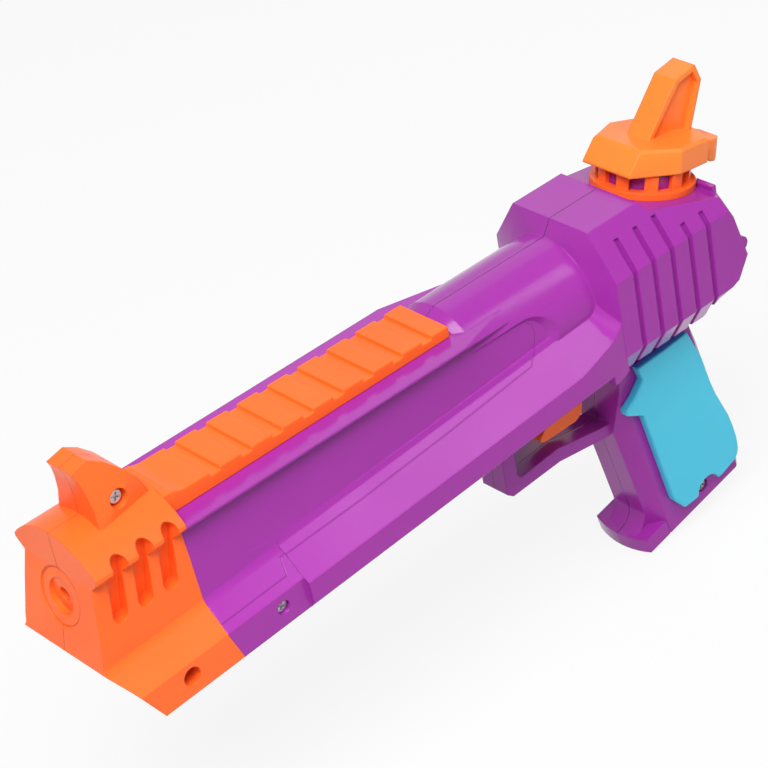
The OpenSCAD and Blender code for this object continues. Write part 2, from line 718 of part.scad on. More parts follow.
module valve_balls() color("silver") {
  translate([inlet_x, 0, hose_z + 0.4]) sphere(ball_r);
  translate([outlet_x, 0, hose_z]) sphere(ball_r);
}
module delivery_tube() color("white") difference() {
  hose(hose_r, 0);
  hose(hose_bore_r, 1);
}
module hose(r, over) {
  bend_x = hose_front + 8 + 2 * hose_bend;
  rod_x(bend_x, valve_x - bend_x - 0.1 + over, r, hose_z);
  rod_x(hose_front - over, 8 + over, r, 0);
  translate([bend_x, 0, -hose_bend]) rotate([90, 0, 0]) rotate([0, 0, 180])
    rotate_extrude(angle = 90) translate([hose_bend, 0]) circle(r);
  translate([hose_front + 8, 0, -hose_bend]) rotate([90, 0, 0])
    rotate_extrude(angle = 90) translate([hose_bend, 0]) circle(r);
}

// Tank
module tank_solid(inset) {
  box(tank_x0 + inset, tank_mid + 2, tank_hw - inset, tank_low + inset, tank_top - inset);
  box(tank_mid + inset, tank_end - inset, tank_rear_hw - inset, tank_low + inset, tank_rear_top - inset);
}
module tank_lower() color("white") difference() {
  intersection() {
    tank_solid(0);
    box(0, big, 60, -60, tank_split);
  }
  tank_solid(tank_wall);
  translate([inlet_x, 0, tank_low - 5]) cylinder(h = 10, r = 1.2);
}
module tank_upper() color("mediumorchid") difference() {
  union() {
    difference() {
      intersection() {
        tank_solid(0);
        box(0, big, 60, tank_split, 60);
      }
      tank_solid(tank_wall);
    }
    intersection() {
      cap_frame() translate([0, 0, -20]) cylinder(h = 20 + neck_top, r = neck_r);
      box(tank_mid, big, 60, tank_rear_top - tank_wall, 60);
    }
  }
  cap_frame() translate([0, 0, -20]) cylinder(h = 40, r = neck_bore_r);
}

// Filler cap
module cap_collar() color("darkorange") cap_frame() difference() {
  union() {
    cylinder(h = 2.5, r = collar_r);
    difference() {
      cylinder(h = skirt_z - slide_gap, r = collar_r - 2);
      for (i = [0:post_count - 1]) rotate([0, 0, 360 * i / post_count])
        translate([8, -2.6, 2.5]) cube([20, 5.2, 10]);
    }
  }
  translate([0, 0, -1]) cylinder(h = 20, r = neck_r + seat_gap);
}
module cap_stopper() color("white") cap_frame() difference() {
  union() {
    translate([0, 0, -2]) cylinder(h = skirt_z + 2, r = neck_bore_r - slide_gap);
    translate([0, 0, skirt_z]) cylinder(h = flange_t, r = flange_r);
    translate([0, 0, skirt_z]) cylinder(h = flange_t + stub_h, r = stub_r);
  }
  translate([0, 0, -3]) cylinder(h = skirt_z + 2.5, r = neck_bore_r - 2);
}
module cap_seal() color("dimgray") cap_frame() translate([0, 0, neck_top]) difference() {
  cylinder(h = seal_t, r = neck_r);
  translate([0, 0, -1]) cylinder(h = 10, r = neck_bore_r - slide_gap);
}
module skirt_outline(front, k) polygon([[-front, -10.8 * k], [-0.4, -skirt_hw * k], [15.7 * k, -14.4 * k],
  [20 * k, -6.5 * k], [20 * k, 6.5 * k], [15.7 * k, 14.4 * k], [-0.4, skirt_hw * k], [-front, 10.8 * k]]);
module fill_cap() color("darkorange") cap_frame() difference() {
  union() {
    hull() {
      translate([0, 0, skirt_z + slide_gap]) linear_extrude(0.8) skirt_outline(18.3, 1);
      translate([0, 0, skirt_top]) linear_extrude(0.1) skirt_outline(14, 1);
      translate([0, 0, crown_z]) linear_extrude(0.1) skirt_outline(12.6, 0.94);
    }
    along_y(-fin_hw, 2 * fin_hw) polygon([[-4.6, skirt_top], [-3.8, crown_z], [7.5, fin_h - 3.7],
      [16.2, fin_h], [19.9, fin_h - 5.7], [16.8, crown_z], [16, skirt_top]]);
    intersection() {
      along_y(-6.5, 13) polygon([[10, skirt_z + slide_gap], [collar_r, skirt_z + slide_gap],
        [tongue_reach - 7, 4.2], [tongue_reach - 4, 3.8], [tongue_reach - 1.4, 5.2], [tongue_reach, 8],
        [tongue_reach - 0.2, 10.4], [tongue_reach - 1.6, 11.8], [10, 12.6]]);
      translate([tongue_reach - 6.5, 0, 0]) cylinder(h = 30, r = 6.5);
    }
    along_y(-6.5, 13) polygon([[12, skirt_z + slide_gap], [collar_r, skirt_z + slide_gap],
      [tongue_reach - 6.9, 4.5], [tongue_reach - 6.5, 12], [12, 12.6]]);
  }
  both_sides() along_y(fin_hw - pocket_d, pocket_d + 1) polygon([[-1.4, crown_z + 0.4], [9.1, fin_h - 5.2],
    [15.6, fin_h - 2.4], [18.2, fin_h - 6.4], [15.4, crown_z + 0.4]]);
  translate([0, 0, skirt_z - 1]) cylinder(h = flange_t + 1 + slide_gap, r = flange_r + slide_gap);
  cylinder(h = skirt_z + flange_t + stub_h + slide_gap, r = stub_r + run_gap);
}

// Screws
module shell_screws() color("silver") for (p = shell_screw_at) screw(p);
module muzzle_screws() color("silver") for (p = muzzle_screw_at) screw(p);

left_shell();
right_shell();
muzzle_left_half();
muzzle_right_half();
top_rail();
left_grip_panel();
right_grip_panel();
trigger();
piston_rod();
piston_seal();
return_spring();
pump_cylinder();
valve_block();
valve_balls();
delivery_tube();
nozzle_insert();
tank_lower();
tank_upper();
cap_collar();
cap_stopper();
cap_seal();
fill_cap();
shell_screws();
muzzle_screws();
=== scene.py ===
import math

import bmesh
import bpy
from mathutils import Matrix, Vector


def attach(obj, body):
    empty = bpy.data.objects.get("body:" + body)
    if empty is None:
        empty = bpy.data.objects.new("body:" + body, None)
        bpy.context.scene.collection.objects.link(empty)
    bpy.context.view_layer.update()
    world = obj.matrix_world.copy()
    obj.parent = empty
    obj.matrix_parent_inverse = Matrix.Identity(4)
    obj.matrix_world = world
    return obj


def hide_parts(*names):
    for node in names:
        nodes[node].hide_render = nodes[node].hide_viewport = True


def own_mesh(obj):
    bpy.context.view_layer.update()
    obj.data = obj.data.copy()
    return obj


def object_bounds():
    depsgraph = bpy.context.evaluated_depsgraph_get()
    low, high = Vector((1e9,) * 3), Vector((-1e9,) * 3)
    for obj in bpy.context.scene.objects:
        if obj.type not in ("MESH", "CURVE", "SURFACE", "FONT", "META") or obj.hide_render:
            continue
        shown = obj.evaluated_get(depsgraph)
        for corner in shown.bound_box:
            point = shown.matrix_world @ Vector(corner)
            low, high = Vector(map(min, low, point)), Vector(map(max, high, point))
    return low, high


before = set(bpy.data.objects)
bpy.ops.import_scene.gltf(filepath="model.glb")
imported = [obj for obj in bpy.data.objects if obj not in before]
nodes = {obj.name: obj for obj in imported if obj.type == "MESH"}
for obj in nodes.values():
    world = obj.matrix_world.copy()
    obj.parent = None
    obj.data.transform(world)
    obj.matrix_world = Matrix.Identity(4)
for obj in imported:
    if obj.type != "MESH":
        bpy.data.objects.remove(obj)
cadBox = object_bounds()
print("frame loaded with", len(nodes), "nodes")


def tone(red, green, blue):
    # screen colour 0 to 255, turned into the linear colour that the shader wants
    linear = []
    for value in (red, green, blue):
        part = value / 255
        linear.append(part / 12.92 if part <= 0.04045 else ((part + 0.055) / 1.055) ** 2.4)
    return (*linear, 1.0)


photoView = {
    "place": (-0.320384, -0.623259, 0.502854),
    "right": (0.73421, -0.65960, -0.16083),
    "up": (0.46929, 0.32187, 0.82230),
    "lens": 134.6, "sensor": 36, "nearest": 0.05,
}


def setCamera():
    lensData = bpy.data.cameras.new("photoCamera")
    lensData.lens = photoView["lens"]
    lensData.sensor_width = photoView["sensor"]
    lensData.clip_start = photoView["nearest"]
    camera = bpy.data.objects.new("photoCamera", lensData)
    right = Vector(photoView["right"]).normalized()
    up = Vector(photoView["up"]).normalized()
    turn = Matrix((right, up, right.cross(up))).transposed()
    camera.matrix_world = Matrix.Translation(photoView["place"]) @ turn.to_4x4()
    bpy.context.scene.collection.objects.link(camera)
    bpy.context.scene.camera = camera


setCamera()
print("camera set")


def addNode(tree, kind, **settings):
    node = tree.nodes.new(kind)
    for key, value in settings.items():
        setattr(node, key, value)
    return node


def setInputs(node, values):
    for socket, value in values.items():
        node.inputs[socket].default_value = value


def startGroup(name, inputs, outputs):
    # effect that several finishes share, each with its own values
    group = bpy.data.node_groups.new(name, "ShaderNodeTree")
    for label, kind in inputs.items():
        group.interface.new_socket(label, in_out="INPUT", socket_type="NodeSocket" + kind)
    for label, kind in outputs.items():
        group.interface.new_socket(label, in_out="OUTPUT", socket_type="NodeSocket" + kind)
    return group, group.nodes.new("NodeGroupInput"), group.nodes.new("NodeGroupOutput")


flowLook = {"stretch": (0.45, 1, 1), "detail": 3, "breakUp": 0.45, "faintest": 0.25, "fullest": 0.75}


def makeFlowTone():
    # slow drift of colour, as pigment spreads in a moulding
    group, source, sink = startGroup(
        "flowTone", {"Base": "Color", "Flow": "Color", "Size": "Float", "Amount": "Float"},
        {"Color": "Color"})
    place = addNode(group, "ShaderNodeTexCoord")
    stretch = addNode(group, "ShaderNodeMapping")
    cloud = addNode(group, "ShaderNodeTexNoise")
    span = addNode(group, "ShaderNodeMapRange", interpolation_type="SMOOTHERSTEP")
    blend = addNode(group, "ShaderNodeMix", data_type="RGBA")
    setInputs(stretch, {"Scale": flowLook["stretch"]})
    setInputs(cloud, {"Detail": flowLook["detail"], "Roughness": flowLook["breakUp"]})
    setInputs(span, {"From Min": flowLook["faintest"], "From Max": flowLook["fullest"]})
    links = group.links
    links.new(place.outputs["Object"], stretch.inputs["Vector"])
    links.new(stretch.outputs[0], cloud.inputs["Vector"])
    links.new(source.outputs["Size"], cloud.inputs["Scale"])
    links.new(cloud.outputs["Fac"], span.inputs["Value"])
    links.new(source.outputs["Amount"], span.inputs["To Max"])
    links.new(span.outputs["Result"], blend.inputs["Factor"])
    links.new(source.outputs["Base"], blend.inputs["A"])
    links.new(source.outputs["Flow"], blend.inputs["B"])
    links.new(blend.outputs["Result"], sink.inputs["Color"])
    return group


skinLook = {"peelDetail": 2, "grainDetail": 1, "grainShare": 0.25,
            "smearSize": 38, "smearDetail": 4, "smearLow": 0.2, "smearHigh": 0.8}


def makeMouldSkin():
    # fine skin of a polished tool: uneven gloss and a faint orange peel
    group, source, sink = startGroup(
        "mouldSkin", {"Peel": "Float", "Grain": "Float", "Low": "Float", "High": "Float"},
        {"Roughness": "Float", "Height": "Float"})
    place = addNode(group, "ShaderNodeTexCoord")
    peel = addNode(group, "ShaderNodeTexNoise")
    grain = addNode(group, "ShaderNodeTexNoise")
    smear = addNode(group, "ShaderNodeTexNoise")
    gloss = addNode(group, "ShaderNodeMapRange", interpolation_type="SMOOTHERSTEP")
    mixed = addNode(group, "ShaderNodeMath", operation="MULTIPLY_ADD")
    setInputs(peel, {"Detail": skinLook["peelDetail"]})
    setInputs(grain, {"Detail": skinLook["grainDetail"]})
    setInputs(smear, {"Scale": skinLook["smearSize"], "Detail": skinLook["smearDetail"]})
    setInputs(gloss, {"From Min": skinLook["smearLow"], "From Max": skinLook["smearHigh"]})
    setInputs(mixed, {1: skinLook["grainShare"]})
    links = group.links
    for texture in (peel, grain, smear):
        links.new(place.outputs["Object"], texture.inputs["Vector"])
    links.new(source.outputs["Peel"], peel.inputs["Scale"])
    links.new(source.outputs["Grain"], grain.inputs["Scale"])
    links.new(smear.outputs["Fac"], gloss.inputs["Value"])
    links.new(source.outputs["Low"], gloss.inputs["To Min"])
    links.new(source.outputs["High"], gloss.inputs["To Max"])
    links.new(grain.outputs["Fac"], mixed.inputs[0])
    links.new(peel.outputs["Fac"], mixed.inputs[2])
    links.new(gloss.outputs["Result"], sink.inputs["Roughness"])
    links.new(mixed.outputs[0], sink.inputs["Height"])
    return group


def makeLineGap():
    # distance from a straight stroke, seen from the side of the object
    group, source, sink = startGroup(
        "lineGap", {"Start": "Vector", "End": "Vector"}, {"Gap": "Float"})
    place = addNode(group, "ShaderNodeTexCoord")
    side = addNode(group, "ShaderNodeVectorMath", operation="MULTIPLY")
    offset = addNode(group, "ShaderNodeVectorMath", operation="SUBTRACT")
    stroke = addNode(group, "ShaderNodeVectorMath", operation="SUBTRACT")
    along = addNode(group, "ShaderNodeVectorMath", operation="DOT_PRODUCT")
    square = addNode(group, "ShaderNodeVectorMath", operation="DOT_PRODUCT")
    share = addNode(group, "ShaderNodeMath", operation="DIVIDE", use_clamp=True)
    foot = addNode(group, "ShaderNodeVectorMath", operation="SCALE")
    rest = addNode(group, "ShaderNodeVectorMath", operation="SUBTRACT")
    length = addNode(group, "ShaderNodeVectorMath", operation="LENGTH")
    setInputs(side, {1: (1, 0, 1)})  # drops Y, so both sides get the same line
    links = group.links
    links.new(place.outputs["Object"], side.inputs[0])
    links.new(side.outputs["Vector"], offset.inputs[0])
    links.new(source.outputs["Start"], offset.inputs[1])
    links.new(source.outputs["End"], stroke.inputs[0])
    links.new(source.outputs["Start"], stroke.inputs[1])
    links.new(offset.outputs["Vector"], along.inputs[0])
    links.new(stroke.outputs["Vector"], along.inputs[1])
    links.new(stroke.outputs["Vector"], square.inputs[0])
    links.new(stroke.outputs["Vector"], square.inputs[1])
    links.new(along.outputs["Value"], share.inputs[0])
    links.new(square.outputs["Value"], share.inputs[1])
    links.new(stroke.outputs["Vector"], foot.inputs[0])
    links.new(share.outputs[0], foot.inputs["Scale"])
    links.new(offset.outputs["Vector"], rest.inputs[0])
    links.new(foot.outputs["Vector"], rest.inputs[1])
    links.new(rest.outputs["Vector"], length.inputs[0])
    links.new(length.outputs["Value"], sink.inputs["Gap"])
    return group


def makePartingLine():
    # hairline where the left and right mouldings meet
    group, source, sink = startGroup("partingLine", {"Half Width": "Float"}, {"Mask": "Float"})
    place = addNode(group, "ShaderNodeTexCoord")
    split = addNode(group, "ShaderNodeSeparateXYZ")
    away = addNode(group, "ShaderNodeMath", operation="ABSOLUTE")
    near = addNode(group, "ShaderNodeMapRange", interpolation_type="SMOOTHSTEP")
    setInputs(near, {"To Min": 1, "To Max": 0})
    links = group.links
    links.new(place.outputs["Object"], split.inputs[0])
    links.new(split.outputs["Y"], away.inputs[0])
    links.new(away.outputs[0], near.inputs["Value"])
    links.new(source.outputs["Half Width"], near.inputs["From Max"])
    links.new(near.outputs["Result"], sink.inputs["Mask"])
    return group


flowTone = makeFlowTone()
mouldSkin = makeMouldSkin()
lineGap = makeLineGap()
partingLine = makePartingLine()
print("shader groups made")

# size, peel and grain are noise scales, low and high the roughness, edge and seam are in metres, and
# the seam's tone is the share of the colour kept in the painted shade along the seam and panel lines
finishes = {
    "purplePlastic": {
        "base": tone(158, 44, 159), "flow": tone(149, 40, 151), "size": 22,
        "low": 0.16, "high": 0.25, "peel": 240, "grain": 2400, "bump": 0.05,
        "coat": 0.07, "rim": 0.4, "edge": 0.0007, "gloss": 0.24,
        "seam": 0.00022, "seamPaintedShade": 0.45, "lines": True},
    "orangePlastic": {
        "base": tone(255, 107, 40), "flow": tone(252, 99, 34), "size": 26,
        "low": 0.29, "high": 0.38, "peel": 260, "grain": 2600, "bump": 0.05,
        "coat": 0.05, "edge": 0.0007, "gloss": 0.2,
        "seam": 0.00012, "seamPaintedShade": 0.75},
    # the orange made lighter for the cap: painted light, standing for the light its faces catch
    "capPaintedLightOrange": {
        "base": tone(255, 132, 50), "flow": tone(254, 124, 44), "size": 30,
        "low": 0.29, "high": 0.38, "peel": 260, "grain": 2600, "bump": 0.05,
        "coat": 0.05, "edge": 0.0009, "gloss": 0.24},
    "railPlastic": {
        "base": tone(255, 109, 38), "flow": tone(252, 101, 33), "size": 30,
        "low": 0.29, "high": 0.38, "peel": 260, "grain": 2600, "bump": 0.05,
        "coat": 0.03, "edge": 0.0006, "gloss": 0.18},
    "tealPlastic": {
        "base": tone(68, 197, 226), "flow": tone(62, 189, 220), "size": 24,
        "low": 0.31, "high": 0.4, "peel": 300, "grain": 3000, "bump": 0.06,
        "coat": 0.08, "edge": 0.001, "gloss": 0.3},
    "whitePlastic": {
        "base": tone(226, 226, 222), "flow": tone(216, 216, 212), "size": 30,
        "low": 0.35, "high": 0.45, "peel": 300, "grain": 2600, "bump": 0.05,
        "coat": 0.0, "edge": 0.0004, "gloss": 0.4},
    "tubePlastic": {
        "base": tone(224, 230, 232), "flow": tone(214, 222, 226), "size": 40,
        "low": 0.17, "high": 0.25, "peel": 300, "grain": 2600, "bump": 0.03,
        "coat": 0.1, "edge": 0.0003, "gloss": 0.5},
    "sealRubber": {
        "base": tone(46, 46, 48), "flow": tone(38, 38, 40), "size": 60,
        "low": 0.55, "high": 0.7, "peel": 500, "grain": 4000, "bump": 0.12,
        "coat": 0.0, "edge": 0.0003, "gloss": 0.3},
    "screwSteel": {
        "base": tone(196, 196, 198), "flow": tone(170, 170, 174), "size": 160,
        "low": 0.29, "high": 0.38, "peel": 900, "grain": 5000, "bump": 0.08,
        "coat": 0.0, "edge": 0.0002, "gloss": 0.5, "metal": 1.0},
}

# what all finishes have in common
finishLook = {"flowAmount": 0.8, "bumpDepth": 0.0004, "edgeSamples": 6, "coatRoughness": 0.12,
              "seamStrength": 0.5, "seamDepth": 0.0002, "rimStart": 0.55, "rimFull": 0.8}

# fine step round the inset side panels, drawn as a line of painted shade, as X and Z in metres
panelTrace = {
    "points": [(0.0343, -0.0212), (0.0608, -0.0194), (0.0626, -0.0155), (0.0652, -0.01515),
               (0.0954, -0.01343), (0.1352, -0.01051), (0.1732, -0.0073), (0.1764, -0.0051),
               (0.1787, -0.0022), (0.1797, 0.001), (0.1790, 0.0042), (0.1768, 0.0063),
               (0.1699, 0.0070)],
    "inner": 0.00006, "outer": 0.00026, "shade": 0.55,
}


def addPanelTrace(tree):
    points = [(x, 0, z) for x, z in panelTrace["points"]]
    nearest = None
    for first, last in zip(points, points[1:]):
        stroke = addNode(tree, "ShaderNodeGroup", node_tree=lineGap)
        setInputs(stroke, {"Start": first, "End": last})
        if nearest is None:
            nearest = stroke.outputs["Gap"]
            continue
        closer = addNode(tree, "ShaderNodeMath", operation="MINIMUM")
        tree.links.new(nearest, closer.inputs[0])
        tree.links.new(stroke.outputs["Gap"], closer.inputs[1])
        nearest = closer.outputs[0]
    mask = addNode(tree, "ShaderNodeMapRange", interpolation_type="SMOOTHSTEP")
    setInputs(mask, {"From Min": panelTrace["inner"], "From Max": panelTrace["outer"],
                     "To Min": panelTrace["shade"], "To Max": 0})
    tree.links.new(nearest, mask.inputs["Value"])
    return mask.outputs["Result"]


def addSeamGrooveShade(tree, values, colour, normal):
    # sinks the parting line with a bump and darkens it with painted shade, and the panel's line
    # where the finish has one
    links = tree.links
    parting = addNode(tree, "ShaderNodeGroup", node_tree=partingLine)
    setInputs(parting, {"Half Width": values["seam"]})
    mask = parting.outputs["Mask"]
    if values.get("lines"):
        either = addNode(tree, "ShaderNodeMath", operation="MAXIMUM")
        links.new(mask, either.inputs[0])
        links.new(addPanelTrace(tree), either.inputs[1])
        mask = either.outputs[0]
    shade = addNode(tree, "ShaderNodeMix", data_type="RGBA")
    # colour of the painted shade in the seam's groove
    seamShadeColour = tuple(values["seamPaintedShade"] * part for part in values["base"][:3])
    setInputs(shade, {"B": (*seamShadeColour, 1)})
    groove = addNode(tree, "ShaderNodeBump", invert=True)
    setInputs(groove, {"Strength": finishLook["seamStrength"], "Distance": finishLook["seamDepth"]})
    links.new(mask, shade.inputs["Factor"])
    links.new(colour, shade.inputs["A"])
    links.new(mask, groove.inputs["Height"])
    links.new(normal, groove.inputs["Normal"])
    return shade.outputs["Result"], groove.outputs["Normal"]


def addRim(tree, values, surface):
    # polished faces seen along the surface mirror more of the room
    facing = addNode(tree, "ShaderNodeLayerWeight")
    rise = addNode(tree, "ShaderNodeMapRange", interpolation_type="SMOOTHSTEP")
    setInputs(rise, {"From Min": finishLook["rimStart"], "From Max": finishLook["rimFull"],
                     "To Min": values["coat"], "To Max": values["rim"]})
    tree.links.new(facing.outputs["Facing"], rise.inputs["Value"])
    tree.links.new(rise.outputs["Result"], surface.inputs["Coat Weight"])


def makeFinish(name):
    values = finishes[name]
    material = bpy.data.materials.new(name)
    material.use_nodes = True
    tree = material.node_tree
    links = tree.links
    surface = tree.nodes["Principled BSDF"]
    flow = addNode(tree, "ShaderNodeGroup", node_tree=flowTone)
    setInputs(flow, {"Base": values["base"], "Flow": values["flow"], "Size": values["size"],
                     "Amount": finishLook["flowAmount"]})
    skin = addNode(tree, "ShaderNodeGroup", node_tree=mouldSkin)
    setInputs(skin, {"Peel": values["peel"], "Grain": values["grain"],
                     "Low": values["low"], "High": values["high"]})
    edge = addNode(tree, "ShaderNodeBevel", samples=finishLook["edgeSamples"])
    setInputs(edge, {"Radius": values["edge"]})
    bump = addNode(tree, "ShaderNodeBump")
    setInputs(bump, {"Strength": values["bump"], "Distance": finishLook["bumpDepth"]})
    colour, normal = flow.outputs["Color"], edge.outputs["Normal"]
    if "seam" in values:
        colour, normal = addSeamGrooveShade(tree, values, colour, normal)
    links.new(colour, surface.inputs["Base Color"])
    links.new(skin.outputs["Roughness"], surface.inputs["Roughness"])
    links.new(skin.outputs["Height"], bump.inputs["Height"])
    links.new(normal, bump.inputs["Normal"])
    links.new(bump.outputs["Normal"], surface.inputs["Normal"])
    setInputs(surface, {"Specular IOR Level": values["gloss"], "Coat Weight": values["coat"],
                        "Coat Roughness": finishLook["coatRoughness"],
                        "Metallic": values.get("metal", 0.0)})
    if "rim" in values:
        addRim(tree, values, surface)
    return material


materials = {name: makeFinish(name) for name in finishes}
print("finishes made:", ", ".join(materials))

# angles in degrees, weld in metres
meshCare = {"crease": 24, "weld": 0.00002, "flat": 0.5, "corner": 25, "cornerSteps": 2}


def makeSmoothFaces():
    # smooth faces that still break at creases
    group = bpy.data.node_groups.new("smoothFaces", "GeometryNodeTree")
    group.interface.new_socket("Geometry", in_out="INPUT", socket_type="NodeSocketGeometry")
    group.interface.new_socket("Geometry", in_out="OUTPUT", socket_type="NodeSocketGeometry")
    source = group.nodes.new("NodeGroupInput")
    sink = group.nodes.new("NodeGroupOutput")
    faces = addNode(group, "GeometryNodeSetShadeSmooth", domain="FACE")
    edges = addNode(group, "GeometryNodeSetShadeSmooth", domain="EDGE")
    angle = addNode(group, "GeometryNodeInputMeshEdgeAngle")
    shallow = addNode(group, "FunctionNodeCompare", operation="LESS_THAN")
    setInputs(shallow, {"B": math.radians(meshCare["crease"])})
    links = group.links
    links.new(source.outputs[0], faces.inputs["Geometry"])
    links.new(faces.outputs[0], edges.inputs["Geometry"])
    links.new(angle.outputs["Unsigned Angle"], shallow.inputs["A"])
    links.new(shallow.outputs[0], edges.inputs["Shade Smooth"])
    links.new(edges.outputs[0], sink.inputs[0])
    return group


smoothFaces = makeSmoothFaces()

# finish of each piece, and the radius in metres of its rounded edges, where 0 leaves them as cut
dressing = {
    "left_shell": ("purplePlastic", 0),
    "right_shell": ("purplePlastic", 0),
    "muzzle_left_half": ("orangePlastic", 0),
    "muzzle_right_half": ("orangePlastic", 0),
    "left_grip_panel": ("tealPlastic", 0.0009),
    "right_grip_panel": ("tealPlastic", 0.0009),
    "trigger": ("orangePlastic", 0.0006),
    "nozzle_insert": ("orangePlastic", 0),
    "cap_collar": ("orangePlastic", 0),
    "fill_cap": ("capPaintedLightOrange", 0.0006),
    "cap_stopper": ("whitePlastic", 0),
    "tank_lower": ("whitePlastic", 0),
    "tank_upper": ("purplePlastic", 0),
    "pump_cylinder": ("whitePlastic", 0),
    "piston_rod": ("whitePlastic", 0),
    "valve_block": ("whitePlastic", 0),
    "valve_balls": ("screwSteel", 0),
    "delivery_tube": ("tubePlastic", 0),
    "shell_screws": ("screwSteel", 0),
    "muzzle_screws": ("screwSteel", 0),
}


def dressPart(part, finish, radius):
    part.data.materials.clear()
    part.data.materials.append(materials[finish])
    weld = part.modifiers.new("weld", "WELD")
    weld.merge_threshold = meshCare["weld"]
    if radius > 0:
        flatten = part.modifiers.new("flatten", "DECIMATE")
        flatten.decimate_type = "DISSOLVE"
        flatten.angle_limit = math.radians(meshCare["flat"])
        rounding = part.modifiers.new("rounding", "BEVEL")
        rounding.width = radius
        rounding.segments = meshCare["cornerSteps"]
        rounding.limit_method = "ANGLE"
        rounding.angle_limit = math.radians(meshCare["corner"])
        rounding.use_clamp_overlap = True
    smooth = part.modifiers.new("smooth", "NODES")
    smooth.node_group = smoothFaces
    weigh = part.modifiers.new("weigh", "WEIGHTED_NORMAL")
    weigh.keep_sharp = True


for pieceName, (finishName, roundRadius) in dressing.items():
    dressPart(nodes[pieceName], finishName, roundRadius)
print("moulded pieces dressed:", len(dressing))


def finishForm(name, form):
    bmesh.ops.recalc_face_normals(form, faces=form.faces)
    for face in form.faces:
        face.smooth = True
    mesh = bpy.data.meshes.new(name)
    form.to_mesh(mesh)
    form.free()
    piece = bpy.data.objects.new(name, mesh)
    bpy.context.scene.collection.objects.link(piece)
    return piece


def joinLoops(form, here, there):
    # band of faces between two closed loops of points
    for spot in range(len(here)):
        after = (spot + 1) % len(here)
        form.faces.new((here[spot], there[spot], there[after], here[after]))


def spinProfile(name, profile, around, place):
    # closed ring from a closed profile of (radius, height)
    form = bmesh.new()
    rings = []
    for step in range(around):
        angle = 2 * math.pi * step / around
        across, along = math.cos(angle), math.sin(angle)
        rings.append([form.verts.new(place @ Vector((radius * across, radius * along, height)))
                      for radius, height in profile])
    for step in range(around):
        joinLoops(form, rings[step], rings[(step + 1) % around])
    return finishForm(name, form)


railForm = {
    "front": 0.034, "back": 0.1505, "low": 0.013, "highest": 0.020,
    "rampHigh": 0.020, "rampFoot": 0.043, "rampRadius": 0.010, "rampSteps": 8,
    "topFront": 0.0186, "topBack": 0.0170, "halfLow": 0.0118, "halfHigh": 0.0112,
    "grooves": 8, "lastGroove": 0.1391, "pitch": 0.01246, "grooveWide": 0.004,
    "grooveDeep": 0.0012, "edge": 0.0005,
}


def railTop(x):
    # the top falls a little from the muzzle to the round barrel
    values = railForm
    share = (x - values["rampFoot"]) / (values["back"] - values["rampFoot"])
    return values["topFront"] + (values["topBack"] - values["topFront"]) * share


def railOutline():
    # side view: up the front, down the ramp, along the grooves, down the back
    values = railForm
    outline = [(values["front"], values["low"]), (values["front"], values["rampHigh"])]
    reach = values["rampRadius"]
    centre = railTop(values["rampFoot"]) + reach
    opening = math.acos((centre - values["rampHigh"]) / reach)
    for step in range(values["rampSteps"] + 1):
        angle = opening * (1 - step / values["rampSteps"])
        outline.append((values["rampFoot"] - reach * math.sin(angle),
                        centre - reach * math.cos(angle)))
    deep = values["grooveDeep"]
    for count in range(values["grooves"] - 1, -1, -1):
        start = values["lastGroove"] - count * values["pitch"]
        stop = start + values["grooveWide"]
        outline += [(start, railTop(start)), (start, railTop(start) - deep),
                    (stop, railTop(stop) - deep), (stop, railTop(stop))]
    outline += [(values["back"], railTop(values["back"])), (values["back"], values["low"])]
    return outline


def makeRail():
    # both sides draw in towards the top
    values = railForm
    form = bmesh.new()
    near, far = [], []
    for x, z in railOutline():
        share = (z - values["low"]) / (values["highest"] - values["low"])
        half = values["halfLow"] + (values["halfHigh"] - values["halfLow"]) * share
        near.append(form.verts.new((x, -half, z)))
        far.append(form.verts.new((x, half, z)))
    for spot in range(len(near)):
        after = (spot + 1) % len(near)
        form.faces.new((near[spot], near[after], far[after], far[spot]))
    form.faces.new(near)
    form.faces.new(far)
    rail = finishForm("railBody", form)
    dressPart(rail, "railPlastic", values["edge"])
    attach(rail, "housing")
    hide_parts("top_rail")


capSealRing = {"centre": (0.2515, 0, 0.015061), "tilt": 14.8, "low": 0.0068, "high": 0.0080,
               "inner": 0.0112, "outer": 0.0135, "around": 72, "points": 20, "fullness": 0.55}


def makeCapSeal():
    # flat ring with rounded corners
    values = capSealRing
    midRadius = (values["inner"] + values["outer"]) / 2
    midHeight = (values["low"] + values["high"]) / 2
    halfWide = (values["outer"] - values["inner"]) / 2
    halfHigh = (values["high"] - values["low"]) / 2
    fullness = values["fullness"]
    profile = []
    for step in range(values["points"]):
        angle = 2 * math.pi * step / values["points"]
        across, up = math.cos(angle), math.sin(angle)
        profile.append((midRadius + halfWide * math.copysign(abs(across) ** fullness, across),
                        midHeight + halfHigh * math.copysign(abs(up) ** fullness, up)))
    tilt = Matrix.Rotation(math.radians(values["tilt"]), 4, "Y")
    place = Matrix.Translation(values["centre"]) @ tilt
    ring = spinProfile("capSealRing", profile, values["around"], place)
    ring.data.materials.append(materials["sealRubber"])
    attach(ring, "stopper")
    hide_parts("cap_seal")


pistonLip = {
    "axis": -0.030, "front": 0.2284, "back": 0.2302, "inner": 0.0046, "outer": 0.00595,
    "around": 64, "wall": 0.36,
    # side that a point is measured from, walls outward from it, share of the length
    "section": [("inner", 0, 0.06), ("inner", 0.08, 0), ("outer", -0.35, 0), ("outer", -0.2, 0.1),
                ("outer", -0.25, 0.45), ("outer", 0, 0.86), ("outer", 0, 0.96), ("outer", -0.3, 1),
                ("outer", -1, 0.62), ("outer", -1.3, 0.5), ("inner", 1, 0.62), ("inner", 0.4, 1),
                ("inner", 0, 0.96)],
}


